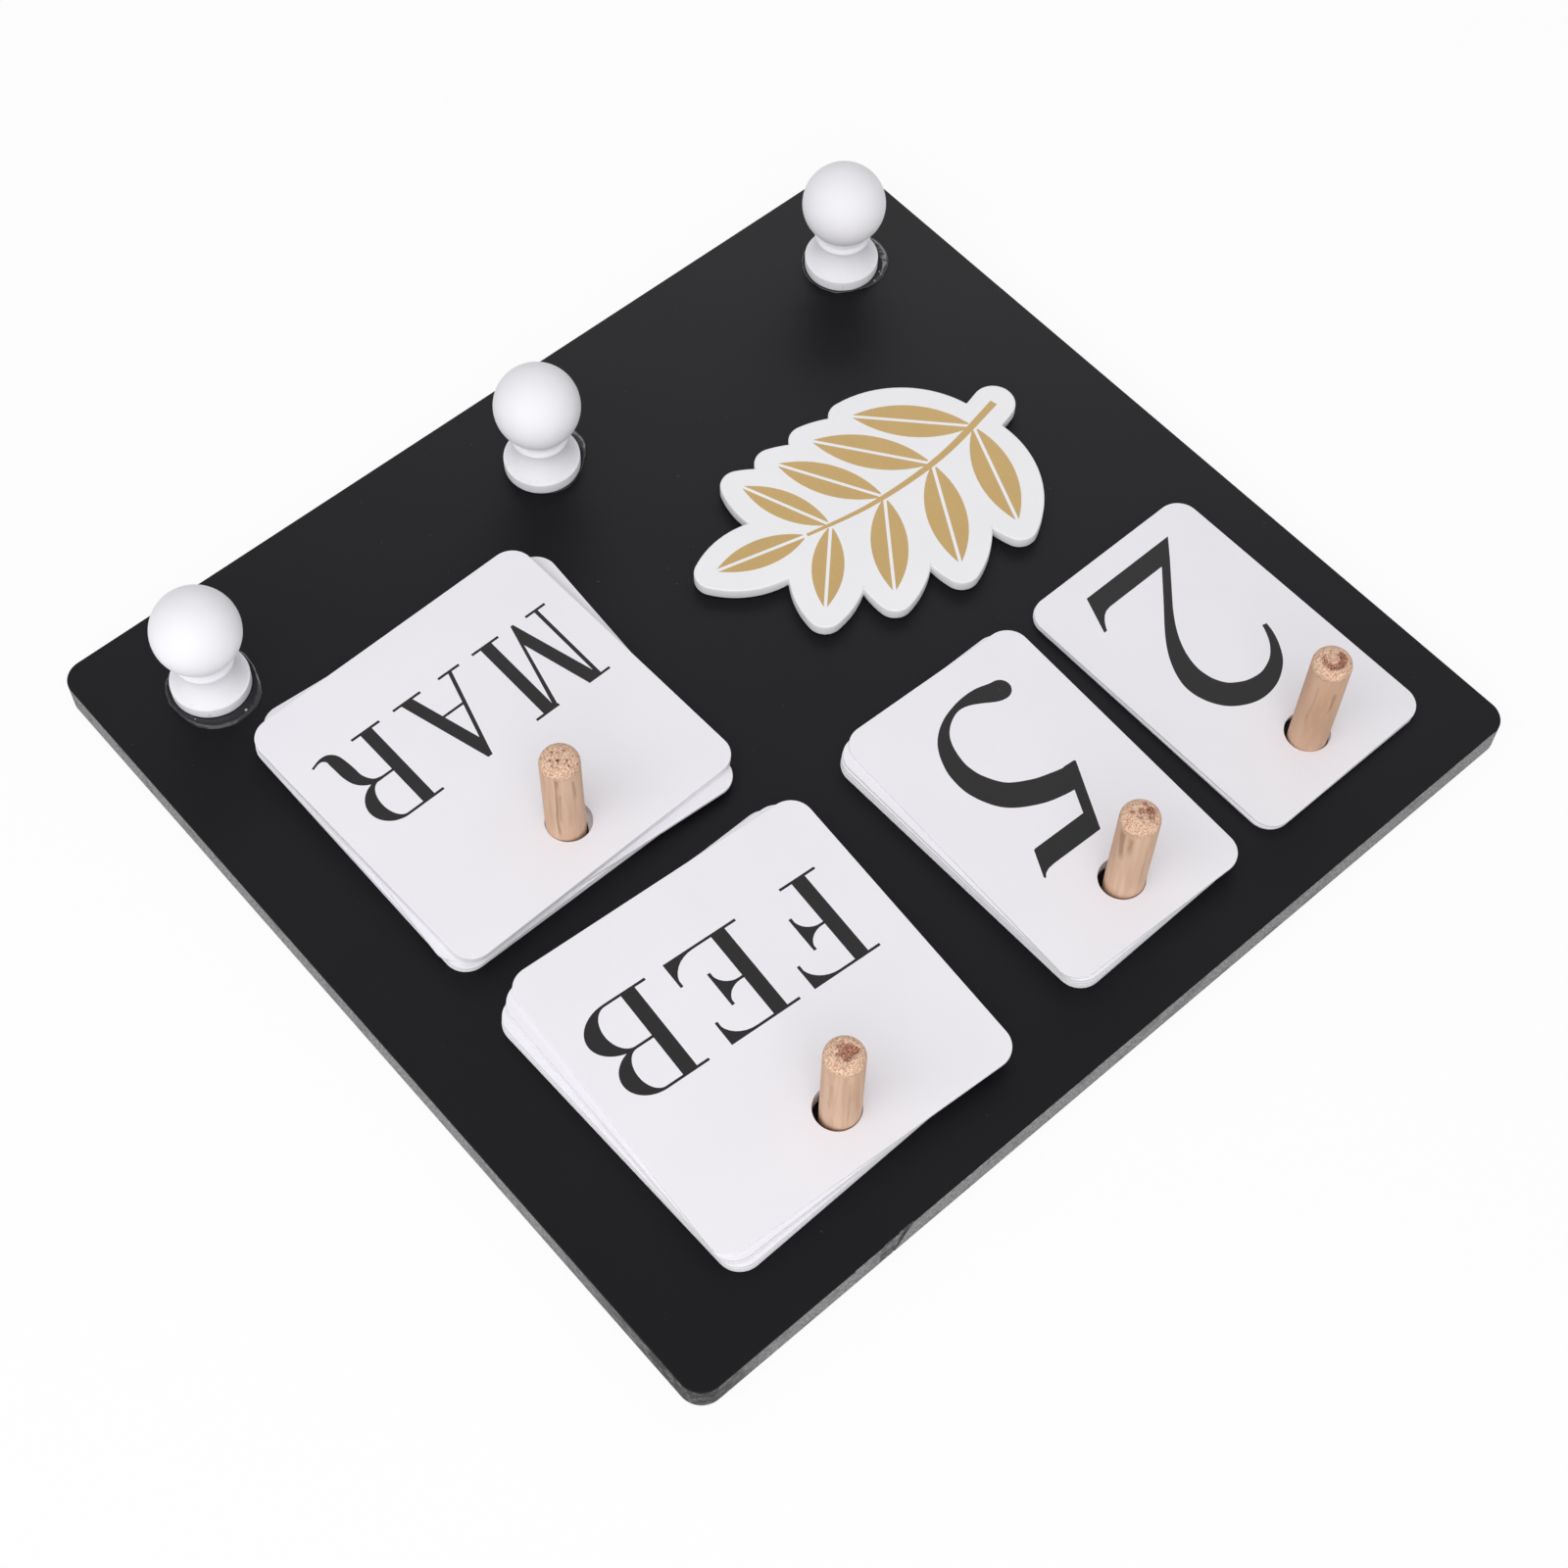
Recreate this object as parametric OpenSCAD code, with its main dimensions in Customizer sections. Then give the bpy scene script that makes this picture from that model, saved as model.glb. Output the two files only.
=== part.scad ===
// Perpetual calendar: a board with wooden pegs that carry piles of number and month cards,
// a row of turned knobs along its lower edge, and a cut plaque with a leaf sprig outline.
// Millimetres. The origin is the centre of the back face. As the board hangs, +X is to the
// right and +Y is up, and +Z points out of the front face.

/* [Board] */
// Thickness of the board
board_t = 9; // [8:0.5:15]
// Radius of the board's four corners
board_corner_r = 6; // [2:0.5:14]
// Left edge of the board to the tens cards
left_margin = 15; // [8:0.5:40]
// Right edge of the board to the month cards
right_margin = 25; // [8:0.5:60]
// Top edge of the board to the upper cards
top_margin = 15.5; // [8:0.5:40]
// Bottom edge of the board to the axes of the knobs
bottom_margin = 27.5; // [16:0.5:50]
// Lower cards to the axes of the knobs
knob_drop = 20; // [16:0.5:40]

/* [Cards] */
// Height of every card
card_h = 87; // [75:1:120]
// Width of a number card
digit_w = 57; // [40:1:80]
// Width of a month card
month_w = 87; // [70:1:120]
// Thickness of one card
card_t = 0.9; // [0.4:0.1:2]
// Air between two cards of a pile
card_gap = 0.05; // [0.02:0.01:0.3]
// Radius of a card's corners
card_corner_r = 6; // [2:0.5:12]
// Top side of a card to the centre of its hole
hole_inset = 14.5; // [11:0.5:25]
// Room between a peg and the card hole round it
hole_clearance = 0.9; // [0.5:0.1:2]
// Gap between the two piles of number cards
digit_gap = 8.5; // [6:0.5:30]
// Gap between the number cards and the month cards
month_gap = 20.5; // [15:0.5:40]
// Gap between the upper and the lower month cards
row_gap = 13; // [11:0.5:30]

/* [Pegs] */
// Diameter of a peg
peg_d = 10; // [8:0.5:14]
// Length of a peg in front of the board's face
peg_stand = 37; // [20:1:60]
// Depth of a peg in the board
peg_depth = 7; // [3:0.5:7.5]
// Radius of the round rim of a peg's free end
peg_round = 3; // [0.5:0.5:3]
// Room for glue round a peg or a tenon in its hole, and between a glue ring and its knob
glue_gap = 0.1; // [0.05:0.01:0.3]

/* [Knobs] */
// Height of a knob in front of the board's face
knob_h = 35.5; // [32:0.5:50]
// Diameter of a knob's ball
ball_d = 22.8; // [18:0.2:26]
// Diameter of a knob's base
base_d = 20.4; // [18:0.2:24]
// Height of the straight rim of a knob's base
base_h = 3.4; // [2:0.1:5]
// Step from the rim in to the foot of the hollow
base_step = 0.3; // [0.1:0.1:1]
// Diameter of a knob's neck
neck_d = 13.6; // [10:0.2:16]
// Radius of the hollow between the base and the neck
cove_r = 8; // [5:0.5:10]
// Thickness of the bead round the neck
collar_d = 1.8; // [1:0.1:2.4]
// The ball's foot on the neck down to the middle of that bead
collar_drop = 3; // [1.5:0.1:5]
// Diameter of the tenon under a knob
tenon_d = 8; // [5:0.5:10]
// Depth of the tenon in the board
tenon_depth = 6; // [3:0.5:7]
// Side edge of the board to the axis of an outer knob
knob_inset = 28; // [16:0.5:60]
// Radius of the round face of the glue ring
glue_r = 2; // [1.2:0.1:3]
// Depth of that round face's centre below the board's face
glue_sink = 0.9; // [0.4:0.1:1]

/* [Plaque] */
// Thickness of the plaque
plaque_t = 3.5; // [2:0.5:6]
// White border round the leaves and the stem
plaque_border = 5; // [3:0.5:8]
// Length of a leaf
leaf_len = 34; // [26:1:38]
// Width of a leaf
leaf_w = 13; // [8:0.5:16]
// Angle between a leaf and the stem
leaf_angle = 57; // [45:1:70]
// Distance along the stem from one pair of leaves to the next
leaf_pitch = 17; // [14:0.5:18]
// Width of the stem
stem_w = 1.8; // [1:0.1:3]
// Radius of the stem's bow
stem_r = 130; // [90:5:300]
// Bare stem below the first pair of leaves
stem_foot = 10; // [6:0.5:16]
// Stem between the last pair of leaves and the end leaf
stem_tip = 7; // [4:0.5:10]
// Thickness of the adhesive under the plaque
tape_t = 0.2; // [0.1:0.05:1]
// Width of the adhesive strip
tape_w = 8; // [5:0.5:9]

/* [Hidden] */
$fn = 96;

// Each card of a pile, from the board up: its turn in degrees, then its shift to the right
// and upwards, both as shares of hole_clearance
tens_fan = [[0.1, -0.2, -0.9], [0.4, -0.6, -0.75]];
units_fan = [[1, 0.45, -0.85], [0.9, 0.4, -0.8], [0.7, 0.4, -0.85],
             [0.3, 0.35, -0.85], [-2, 0.35, -0.75]];
month_fan = [[1, 0.6, -0.7], [0.8, 0.65, -0.65], [0.6, 0.6, -0.7],
             [-1.3, 0.7, -0.6], [-1.6, 0.65, -0.65], [-4, 0.4, -0.75]];
spare_fan = [[0, 0.76, 0.6], [0.3, 0.6, 0.5], [-3.9, 0.93, 0.23],
             [1.1, -0.9, -0.3], [1.3, -0.93, -0.1], [1.5, -0.95, 0.1]];

// The layout sets the size of the board
board_w = left_margin + 2 * digit_w + digit_gap + month_gap + month_w + right_margin;
board_h = top_margin + 2 * card_h + row_gap + knob_drop + bottom_margin;

// Places of the pegs and the knobs on the board's face
tens_x = -board_w / 2 + left_margin + digit_w / 2;
units_x = tens_x + digit_w + digit_gap;
month_x = board_w / 2 - right_margin - month_w / 2;
upper_y = board_h / 2 - top_margin - hole_inset;
lower_y = upper_y - card_h - row_gap;
knob_x = board_w / 2 - knob_inset;
knob_y = -board_h / 2 + bottom_margin;
peg_places = [[tens_x, upper_y], [units_x, upper_y], [month_x, upper_y], [month_x, lower_y]];
knob_places = [[-knob_x, knob_y], [0, knob_y], [knob_x, knob_y]];

card_pitch = card_t + card_gap;
hole_d = peg_d + 2 * hole_clearance;

// The knob's hollow is part of a ring groove that runs out at the foot of the hollow
neck_r = neck_d / 2;
foot_r = base_d / 2 - base_step;
cove_rise = sqrt(pow(cove_r, 2) - pow(neck_r + cove_r - foot_r, 2));
cove_z = base_h + cove_rise;
ball_z = knob_h - ball_d / 2;
ball_foot_z = ball_z - sqrt(pow(ball_d / 2, 2) - pow(neck_r, 2));
collar_z = ball_foot_z - collar_drop;

// The sprig: pairs of leaves along a bowed stem, with one leaf at its end
pair_sizes = [1, 1, 0.92, 0.8];
end_size = 0.8;
leaf_span = (len(pair_sizes) - 1) * leaf_pitch;
stem_len = stem_foot + leaf_span + stem_tip;
sprig_len = stem_len + leaf_len * end_size;
spare_left = month_x - month_w / 2;
plaque_x = (-board_w / 2 + spare_left) / 2;
plaque_y = (upper_y + lower_y) / 2 + hole_inset - card_h;

// A flat outline with round corners, centred on the origin
module round_rect(w, h, r) {
    square([w - 2 * r, h], center = true);
    square([w, h - 2 * r], center = true);
    for (sx = [-1, 1], sy = [-1, 1])
        translate([sx * (w / 2 - r), sy * (h / 2 - r)])
            circle(r);
}

// The board, with a blind hole for each peg and each tenon
module board() {
    color("#1d1d1f")
    difference() {
        linear_extrude(board_t)
            round_rect(board_w, board_h, board_corner_r);
        for (p = peg_places)
            translate([p.x, p.y, board_t - peg_depth])
                cylinder(d = peg_d + 2 * glue_gap, h = peg_depth + 1);
        for (p = knob_places)
            translate([p.x, p.y, board_t - tenon_depth])
                cylinder(d = tenon_d + 2 * glue_gap, h = tenon_depth + 1);
    }
}

// A dowel in its hole, with a round rim at the free end
module peg(place) {
    straight = peg_depth + peg_stand - peg_round;
    flat_r = peg_d / 2 - peg_round;
    color("#d9b48f")
    translate([place.x, place.y, board_t - peg_depth])
        rotate_extrude()
            intersection() {
                union() {
                    square([peg_d / 2, straight]);
                    square([flat_r, straight + peg_round]);
                    translate([flat_r, straight])
                        circle(peg_round);
                }
                square([peg_d / 2, straight + peg_round]);
            }
}

// A turned knob: tenon, base with its rim, hollow, neck with a bead, and ball
module knob(place) {
    color("#f4f4f6")
    translate([place.x, place.y, board_t]) {
        translate([0, 0, -tenon_depth])
            cylinder(d = tenon_d, h = tenon_depth + base_h / 2);
        cylinder(d = base_d, h = base_h);
        difference() {
            cylinder(r = foot_r, h = cove_z);
            rotate_extrude()
                translate([neck_r + cove_r, cove_z])
                    circle(cove_r);
        }
        cylinder(r = neck_r, h = ball_z);
        rotate_extrude()
            translate([neck_r, collar_z])
                circle(d = collar_d);
        translate([0, 0, ball_z])
            sphere(d = ball_d);
    }
}

// The ring of glue that was pressed out from under a knob
module glue_ring(place) {
    color("#26262c")
    translate([place.x, place.y, board_t])
        rotate_extrude()
            translate([base_d / 2 + glue_gap, 0])
                intersection() {
                    translate([0, -glue_sink])
                        circle(glue_r);
                    square(glue_r);
                }
}

// A leaf from its foot at the origin along +X, grown by a border on all sides
module leaf(length, width, border) {
    side_r = (pow(length, 2) + pow(width, 2)) / (4 * width);
    bulge = side_r - width / 2;
    reach = border * length / (2 * side_r);
    intersection() {
        translate([length / 2, bulge])
            circle(side_r + border);
        translate([length / 2, -bulge])
            circle(side_r + border);
        translate([-reach, -width / 2 - border])
            square([length + 2 * reach, width + 2 * border]);
    }
    for (x = [0, length])
        translate([x, 0])
            circle(border);
}

// Moves its children to a distance along the stem, turned to the stem's direction there
module on_stem(along) {
    turn = (stem_len / 2 - along) / stem_r * 180 / PI;
    rotate(turn)
        translate([0, stem_r])
            children();
}

// The sprig's outline, grown by a border, about the middle of the stem's bow
module sprig(border) {
    half_turn = stem_len / 2 / stem_r * 180 / PI;
    band = stem_w / 2 + border;
    intersection() {
        difference() {
            circle(stem_r + band);
            circle(stem_r - band);
        }
        polygon([[0, 0],
                 2 * stem_r * [-sin(half_turn), cos(half_turn)],
                 2 * stem_r * [sin(half_turn), cos(half_turn)]]);
    }
    on_stem(0)
        circle(band);
    for (i = [0 : len(pair_sizes) - 1], side = [-1, 1])
        on_stem(stem_foot + i * leaf_pitch)
            rotate(side * leaf_angle)
                leaf(leaf_len * pair_sizes[i], leaf_w * pair_sizes[i], border);
    on_stem(stem_len)
        leaf(leaf_len * end_size, leaf_w * end_size, border);
}

// Puts the sprig's middle on the plaque's place
module at_plaque() {
    translate([plaque_x - (sprig_len - stem_len) / 2, plaque_y - stem_r])
        children();
}

// The contour-cut plaque on its adhesive
module plaque() {
    color("#f6f6f7")
    translate([0, 0, board_t + tape_t])
        linear_extrude(plaque_t)
            at_plaque()
                sprig(plaque_border);
}

// The strip of adhesive under the plaque, from the first pair of leaves to the last
module plaque_tape() {
    color("#d8d8d2")
    translate([0, 0, board_t])
        linear_extrude(tape_t)
            at_plaque()
                on_stem(stem_foot + leaf_span / 2)
                    square([leaf_span, tape_w], center = true);
}

// One card of a pile: a plate with a hole for its peg
module card(place, width, fan, level) {
    turn = fan[level][0];
    shift = hole_clearance * [fan[level][1], fan[level][2]];
    color("#f3f3f5")
    translate([place.x + shift.x, place.y + shift.y, board_t + card_gap + level * card_pitch])
        rotate(turn)
            linear_extrude(card_t)
                difference() {
                    translate([0, hole_inset - card_h / 2])
                        round_rect(width, card_h, card_corner_r);
                    circle(d = hole_d);
                }
}

board();
peg(peg_places[0]);  // peg_tens
peg(peg_places[1]);  // peg_units
peg(peg_places[2]);  // peg_month
peg(peg_places[3]);  // peg_spare
knob(knob_places[0]);  // knob_left
knob(knob_places[1]);  // knob_middle
knob(knob_places[2]);  // knob_right
glue_ring(knob_places[0]);  // glue_left
glue_ring(knob_places[1]);  // glue_middle
glue_ring(knob_places[2]);  // glue_right
plaque();
plaque_tape();
for (i = [0 : len(tens_fan) - 1])
    card(peg_places[0], digit_w, tens_fan, i);
for (i = [0 : len(units_fan) - 1])
    card(peg_places[1], digit_w, units_fan, i);
for (i = [0 : len(month_fan) - 1])
    card(peg_places[2], month_w, month_fan, i);
for (i = [0 : len(spare_fan) - 1])
    card(peg_places[3], month_w, spare_fan, i);
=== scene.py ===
from math import acos, atan2, cos, degrees, hypot, pi, radians, sin, tau

import bmesh
import bpy
from mathutils import Matrix, Vector, noise


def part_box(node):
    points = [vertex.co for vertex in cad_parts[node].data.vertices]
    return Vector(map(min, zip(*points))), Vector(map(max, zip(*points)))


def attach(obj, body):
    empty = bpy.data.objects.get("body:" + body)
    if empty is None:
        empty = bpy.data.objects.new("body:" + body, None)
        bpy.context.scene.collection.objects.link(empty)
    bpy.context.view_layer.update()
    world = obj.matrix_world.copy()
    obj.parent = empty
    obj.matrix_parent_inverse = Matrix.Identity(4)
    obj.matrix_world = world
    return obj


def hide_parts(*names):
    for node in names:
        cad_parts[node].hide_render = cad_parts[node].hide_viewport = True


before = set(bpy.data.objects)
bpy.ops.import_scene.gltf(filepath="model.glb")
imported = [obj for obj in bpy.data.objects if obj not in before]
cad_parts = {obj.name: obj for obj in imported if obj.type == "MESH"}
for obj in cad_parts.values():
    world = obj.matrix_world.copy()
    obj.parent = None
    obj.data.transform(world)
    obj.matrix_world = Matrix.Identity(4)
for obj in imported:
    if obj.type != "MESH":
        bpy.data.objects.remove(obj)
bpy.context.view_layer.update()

# Board
# A fibreboard panel faced in matte black on both sides and sawn to size, so that its grey
# fibre shows all round the edge. The corners are rounded and the arrises just broken. It is
# drilled for the pegs and the knobs, and a knock has split its upper edge in one place.


def pick(*pieces):
    """Selects these pieces alone, with the first of them as the active one."""
    bpy.ops.object.select_all(action="DESELECT")
    for piece in pieces:
        piece.select_set(True)
    bpy.context.view_layer.objects.active = pieces[0]


def open_for_edit(piece, kind="VERT"):
    """Opens one piece in edit mode with nothing on it selected."""
    pick(piece)
    bpy.ops.object.mode_set(mode="EDIT")
    bpy.ops.mesh.select_mode(type=kind)
    bpy.ops.mesh.select_all(action="DESELECT")
    return bmesh.from_edit_mesh(piece.data)


def close_edit():
    bpy.ops.object.mode_set(mode="OBJECT")


def round_block(name, low, high, corner_r):
    """A block between two corners of the object's box, with its four upright edges rounded."""
    bpy.ops.object.select_all(action="DESELECT")
    low, high = Vector(low), Vector(high)
    bpy.ops.mesh.primitive_cube_add(size=1, location=(low + high) / 2, scale=high - low)
    block = bpy.context.object
    block.name = name
    bpy.ops.object.transform_apply()
    edges = open_for_edit(block, "EDGE").edges
    for edge in edges:
        edge.select_set(edge.verts[0].co.z != edge.verts[1].co.z)
    bpy.ops.mesh.bevel(offset=corner_r, segments=14)
    close_edit()
    return block


def apply_modifier(piece, kind, **settings):
    modifier = piece.modifiers.new(kind.lower(), kind)
    for key, value in settings.items():
        setattr(modifier, key, value)
    bpy.context.view_layer.objects.active = piece
    bpy.ops.object.modifier_apply(modifier=modifier.name)


def cut(piece, cutter):
    """Takes the cutter's volume out of a piece, and then the cutter away."""
    apply_modifier(piece, "BOOLEAN", operation="DIFFERENCE", object=cutter, solver="EXACT")
    bpy.data.objects.remove(cutter)


def drill(piece, place, radius, low_z, high_z):
    bpy.ops.object.select_all(action="DESELECT")
    middle = (place[0], place[1], (low_z + high_z) / 2)
    bpy.ops.mesh.primitive_cylinder_add(
        vertices=64, radius=radius, depth=high_z - low_z, location=middle)
    cut(piece, bpy.context.object)


def smooth(piece):
    """Smooth shading on round forms. Large level faces stay flat, so that no shade runs over them."""
    pick(piece)
    bpy.ops.object.shade_smooth_by_angle(angle=radians(35))
    for face in piece.data.polygons:
        face.use_smooth = abs(face.normal.z) < 0.9999


def break_arrises(piece, width, segments=2):
    """Rounds every sharp edge of a piece a little."""
    open_for_edit(piece, "EDGE")
    bpy.ops.mesh.edges_select_sharp(sharpness=radians(50))
    bpy.ops.mesh.bevel(offset=width, segments=segments)
    close_edit()
    smooth(piece)


def middle_of(node):
    low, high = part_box(node)
    return (Vector(low) + Vector(high)) / 2


MM = 0.001
PEGS = ("tens", "units", "month", "spare")
KNOBS = ("left", "middle", "right")
corner_r = 6 * MM
board_arris = 0.3 * MM
glue_gap = 0.1 * MM
tenon_r = 4 * MM
board_low, board_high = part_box("board")
board_top = board_high[2]

board = round_block("black_board", board_low, board_high, corner_r)
for name in PEGS:
    low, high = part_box("peg_" + name)
    drill(board, middle_of("peg_" + name), (high[0] - low[0]) / 2 + glue_gap, low[2], board_top + MM)
for name in KNOBS:
    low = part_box("knob_" + name)[0]
    drill(board, middle_of("knob_" + name), tenon_r + glue_gap, low[2], board_top + MM)

break_arrises(board, board_arris)

# The tear starts at a slanting split and runs out along the edge. Its lengths are in millimetres.
split_top = 70.4
split_foot = 76.2
torn_end = 82
split_depth = 0.9
torn_depth = 0.3
split_share = 0.09
fade_share = 0.25
past_faces = 1.04
cutter_out = 3
bpy.ops.object.select_all(action="DESELECT")
bpy.ops.mesh.primitive_grid_add(x_subdivisions=60, y_subdivisions=44, size=1)
tear = bpy.context.object
for vertex in tear.data.vertices:
    across, up = vertex.co.x + 0.5, vertex.co.y * past_faces + 0.5
    start = split_foot + (split_top - split_foot) * up + 0.5 * noise.noise((0, 3 * up, 0.5))
    x = start + (torn_end - start) * across
    z = up * board_top / MM
    rough = 0.3 * noise.noise((0.8 * x, 0.8 * z, 0)) + 0.22 * noise.noise((2.3 * x, 2.3 * z, 5))
    depth = torn_depth + rough + 0.25 * max(0, up - 0.75)
    depth += (split_depth - torn_depth) * max(0, 1 - across / split_share)
    depth = depth * min(1, (1 - across) / fade_share) * min(1, 0.3 + 2.4 * up) - 0.12 * across
    vertex.co = Vector((x, board_high[1] / MM - depth, z)) * MM
open_for_edit(tear, "FACE")
bpy.ops.mesh.select_all(action="SELECT")
bpy.ops.mesh.extrude_region_move(TRANSFORM_OT_translate={"value": (0, cutter_out * MM, 0)})
bpy.ops.mesh.select_all(action="SELECT")
bpy.ops.mesh.normals_make_consistent(inside=False)
close_edit()
cut(board, tear)
chip_at = Vector((88.5, 0.1, -0.9)) * MM
chip_radii = (0.9, 0.4, 0.9)
bpy.ops.object.select_all(action="DESELECT")
bpy.ops.mesh.primitive_ico_sphere_add(subdivisions=4, radius=MM, scale=chip_radii)
chip = bpy.context.object
bpy.ops.object.transform_apply()
for vertex in chip.data.vertices:
    vertex.co *= 1 + 0.5 * noise.noise(vertex.co / MM * 0.9) + 0.2 * noise.noise(vertex.co / MM * 3)
chip.location = Vector((0, board_high[1], board_top)) + chip_at
cut(board, chip)
smooth(board)


def srgb(*levels):
    """A colour as it shows on a screen, in levels of 255, as the light values that shaders take."""
    shares = [level / 255 for level in levels]
    return (*[s / 12.92 if s < 0.04 else ((s + 0.055) / 1.055) ** 2.4 for s in shares], 1)


class Tone:
    """A number that varies over a surface. Sums and products of tones become Math nodes."""

    def __init__(self, finish, socket):
        self.finish = finish
        self.socket = socket

    def math(self, operation, first, second):
        node = self.finish.node("ShaderNodeMath", {"operation": operation}, {0: first, 1: second})
        return Tone(self.finish, node.outputs[0])

    def __add__(self, other):
        return self.math("ADD", self, other)

    def __radd__(self, other):
        return self.math("ADD", other, self)

    def __sub__(self, other):
        return self.math("SUBTRACT", self, other)

    def __rsub__(self, other):
        return self.math("SUBTRACT", other, self)

    def __mul__(self, other):
        return self.math("MULTIPLY", self, other)

    def __rmul__(self, other):
        return self.math("MULTIPLY", other, self)


class Nodes:
    """The node tree of a material or of the world."""

    def __init__(self, tree):
        self.tree = tree

    def feed(self, socket, value):
        if isinstance(value, Tone):
            value = value.socket
        if isinstance(value, bpy.types.NodeSocket):
            self.tree.links.new(value, socket)
        else:
            socket.default_value = value

    def node(self, kind, settings=None, inputs=None):
        node = self.tree.nodes.new(kind)
        for key, value in (settings or {}).items():
            setattr(node, key, value)
        for key, value in (inputs or {}).items():
            self.feed(node.inputs[key], value)
        return node


class Finish(Nodes):
    """A material on one Principled shader, with the nodes that vary its colour and its surface."""

    def __init__(self, name, **constants):
        self.material = bpy.data.materials.new(name)
        self.material.use_nodes = True
        super().__init__(self.material.node_tree)
        self.shader = self.tree.nodes["Principled BSDF"]
        self.place = self.node("ShaderNodeTexCoord").outputs["Object"]
        self.set(**constants)

    def noise(self, per_mm, detail, stretch=(1, 1, 1)):
        """Cloudy noise with so many blobs to a millimetre, drawn out where stretch is below 1."""
        spread = self.node("ShaderNodeMapping", {}, {"Vector": self.place, "Scale": stretch})
        cloud = self.node("ShaderNodeTexNoise", {}, {
            "Vector": spread.outputs[0], "Scale": per_mm / MM, "Detail": detail})
        return Tone(self, cloud.outputs[0])

    def axis(self, letter):
        """A coordinate of the surface in millimetres."""
        parts = self.node("ShaderNodeSeparateXYZ", {}, {0: self.place})
        return Tone(self, parts.outputs[letter]) * (1 / MM)

    def rise(self, tone, low, high):
        """From 0 where the tone is at low to 1 where it is at high."""
        ramp = self.node("ShaderNodeMapRange", {"interpolation_type": "SMOOTHSTEP"}, {
            "Value": tone, "From Min": low, "From Max": high})
        return Tone(self, ramp.outputs[0])

    def mix(self, tone, first, second):
        """The first colour where the tone is 0, the second where it is 1."""
        blend = self.node("ShaderNodeMix", {"data_type": "RGBA"}, {0: tone, 6: first, 7: second})
        return blend.outputs[2]

    def set(self, **sockets):
        for socket, value in sockets.items():
            self.feed(self.shader.inputs[socket.replace("_", " ")], value)

    def bump(self, tone, height_mm):
        relief = self.node("ShaderNodeBump", {}, {"Height": tone, "Distance": height_mm * MM})
        self.set(Normal=relief.outputs[0])


def matte_black():
    """Black paint film with a faint clouding, a fine stipple and a few specks of dust."""
    face = Finish("matte black", Specular_IOR_Level=0.12)
    cloud = face.noise(0.02, 4)
    stipple = face.noise(2.2, 3)
    dust = face.rise(face.noise(0.8, 1), 0.8, 0.83)
    film = face.mix(cloud, srgb(13, 13, 17), srgb(18, 17, 22))
    face.set(Base_Color=face.mix(dust * 0.2, film, srgb(120, 120, 124)), Roughness=0.4 + 0.1 * cloud)
    face.bump(stipple, 0.008)
    return face.material


def sawn_fibre():
    """The sawn edge: pressed grey fibre with fine dark pores and smears. It is scorched in spots at
    one corner, darker where it is torn, and painted almost black as shade deep in the split."""
    edge = Finish("sawn fibre", Specular_IOR_Level=0.25)
    fibre = edge.noise(1.2, 6)
    smear = edge.noise(0.14, 5)
    mottle = edge.noise(0.5, 6)
    pores = edge.noise(2.6, 4)
    along, across = edge.axis("X"), edge.axis("Y")
    grey = edge.mix(edge.rise(fibre, 0.3, 0.7), srgb(104, 104, 105), srgb(158, 158, 159))
    grey = edge.mix(edge.rise(smear, 0.48, 0.68) * 0.4, grey, srgb(88, 87, 87))
    grey = edge.mix(edge.rise(pores, 0.54, 0.72) * 0.5, grey, srgb(70, 69, 68))
    burn = edge.rise(along + 0.4 * across, 160, 181) * edge.rise(mottle + fibre, 0.74, 1.06)
    grey = edge.mix(burn * 0.92, grey, srgb(50, 49, 48))
    depth = board_high[1] / MM - across
    at_tear = edge.rise(along, 68, 69) * edge.rise(along, 91, 90) * edge.rise(depth, 2, 1.5)
    torn = edge.rise(depth, 0.03, 0.12) * at_tear * edge.rise(mottle + 0.5 * fibre, 0.6, 0.84)
    # Painted shade: deep in the split the colour goes almost black, standing in for the crack's shadow.
    inside = edge.rise(depth, 0.3, 0.6) * at_tear
    grey = edge.mix(torn * 0.8, grey, srgb(64, 63, 62))
    edge.set(Base_Color=edge.mix(inside * 0.9, grey, srgb(28, 27, 26)), Roughness=0.72 + 0.2 * pores)
    edge.bump(fibre + 0.5 * pores, 0.14)
    return edge.material


board.data.materials.append(matte_black())
board.data.materials.append(sawn_fibre())
paint_wrap = 0.2 * MM
for face in board.data.polygons:
    on_face = min(face.center.z, board_top - face.center.z) < paint_wrap
    face.material_index = 0 if on_face and abs(face.normal.z) > 0.3 else 1
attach(board, "board")
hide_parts("board")

# Pegs
# Four lengths of beech dowel, sawn off and tumbled so that the rim is round, and glued into
# the board. The saw has torn the end grain, so each end has its own pits and reddish scars.

rim_round = 3 * MM
rings = 8
crescent = [radians(20 * i - 55) for i in range(12)]
crescent_r = 2.3
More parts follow.
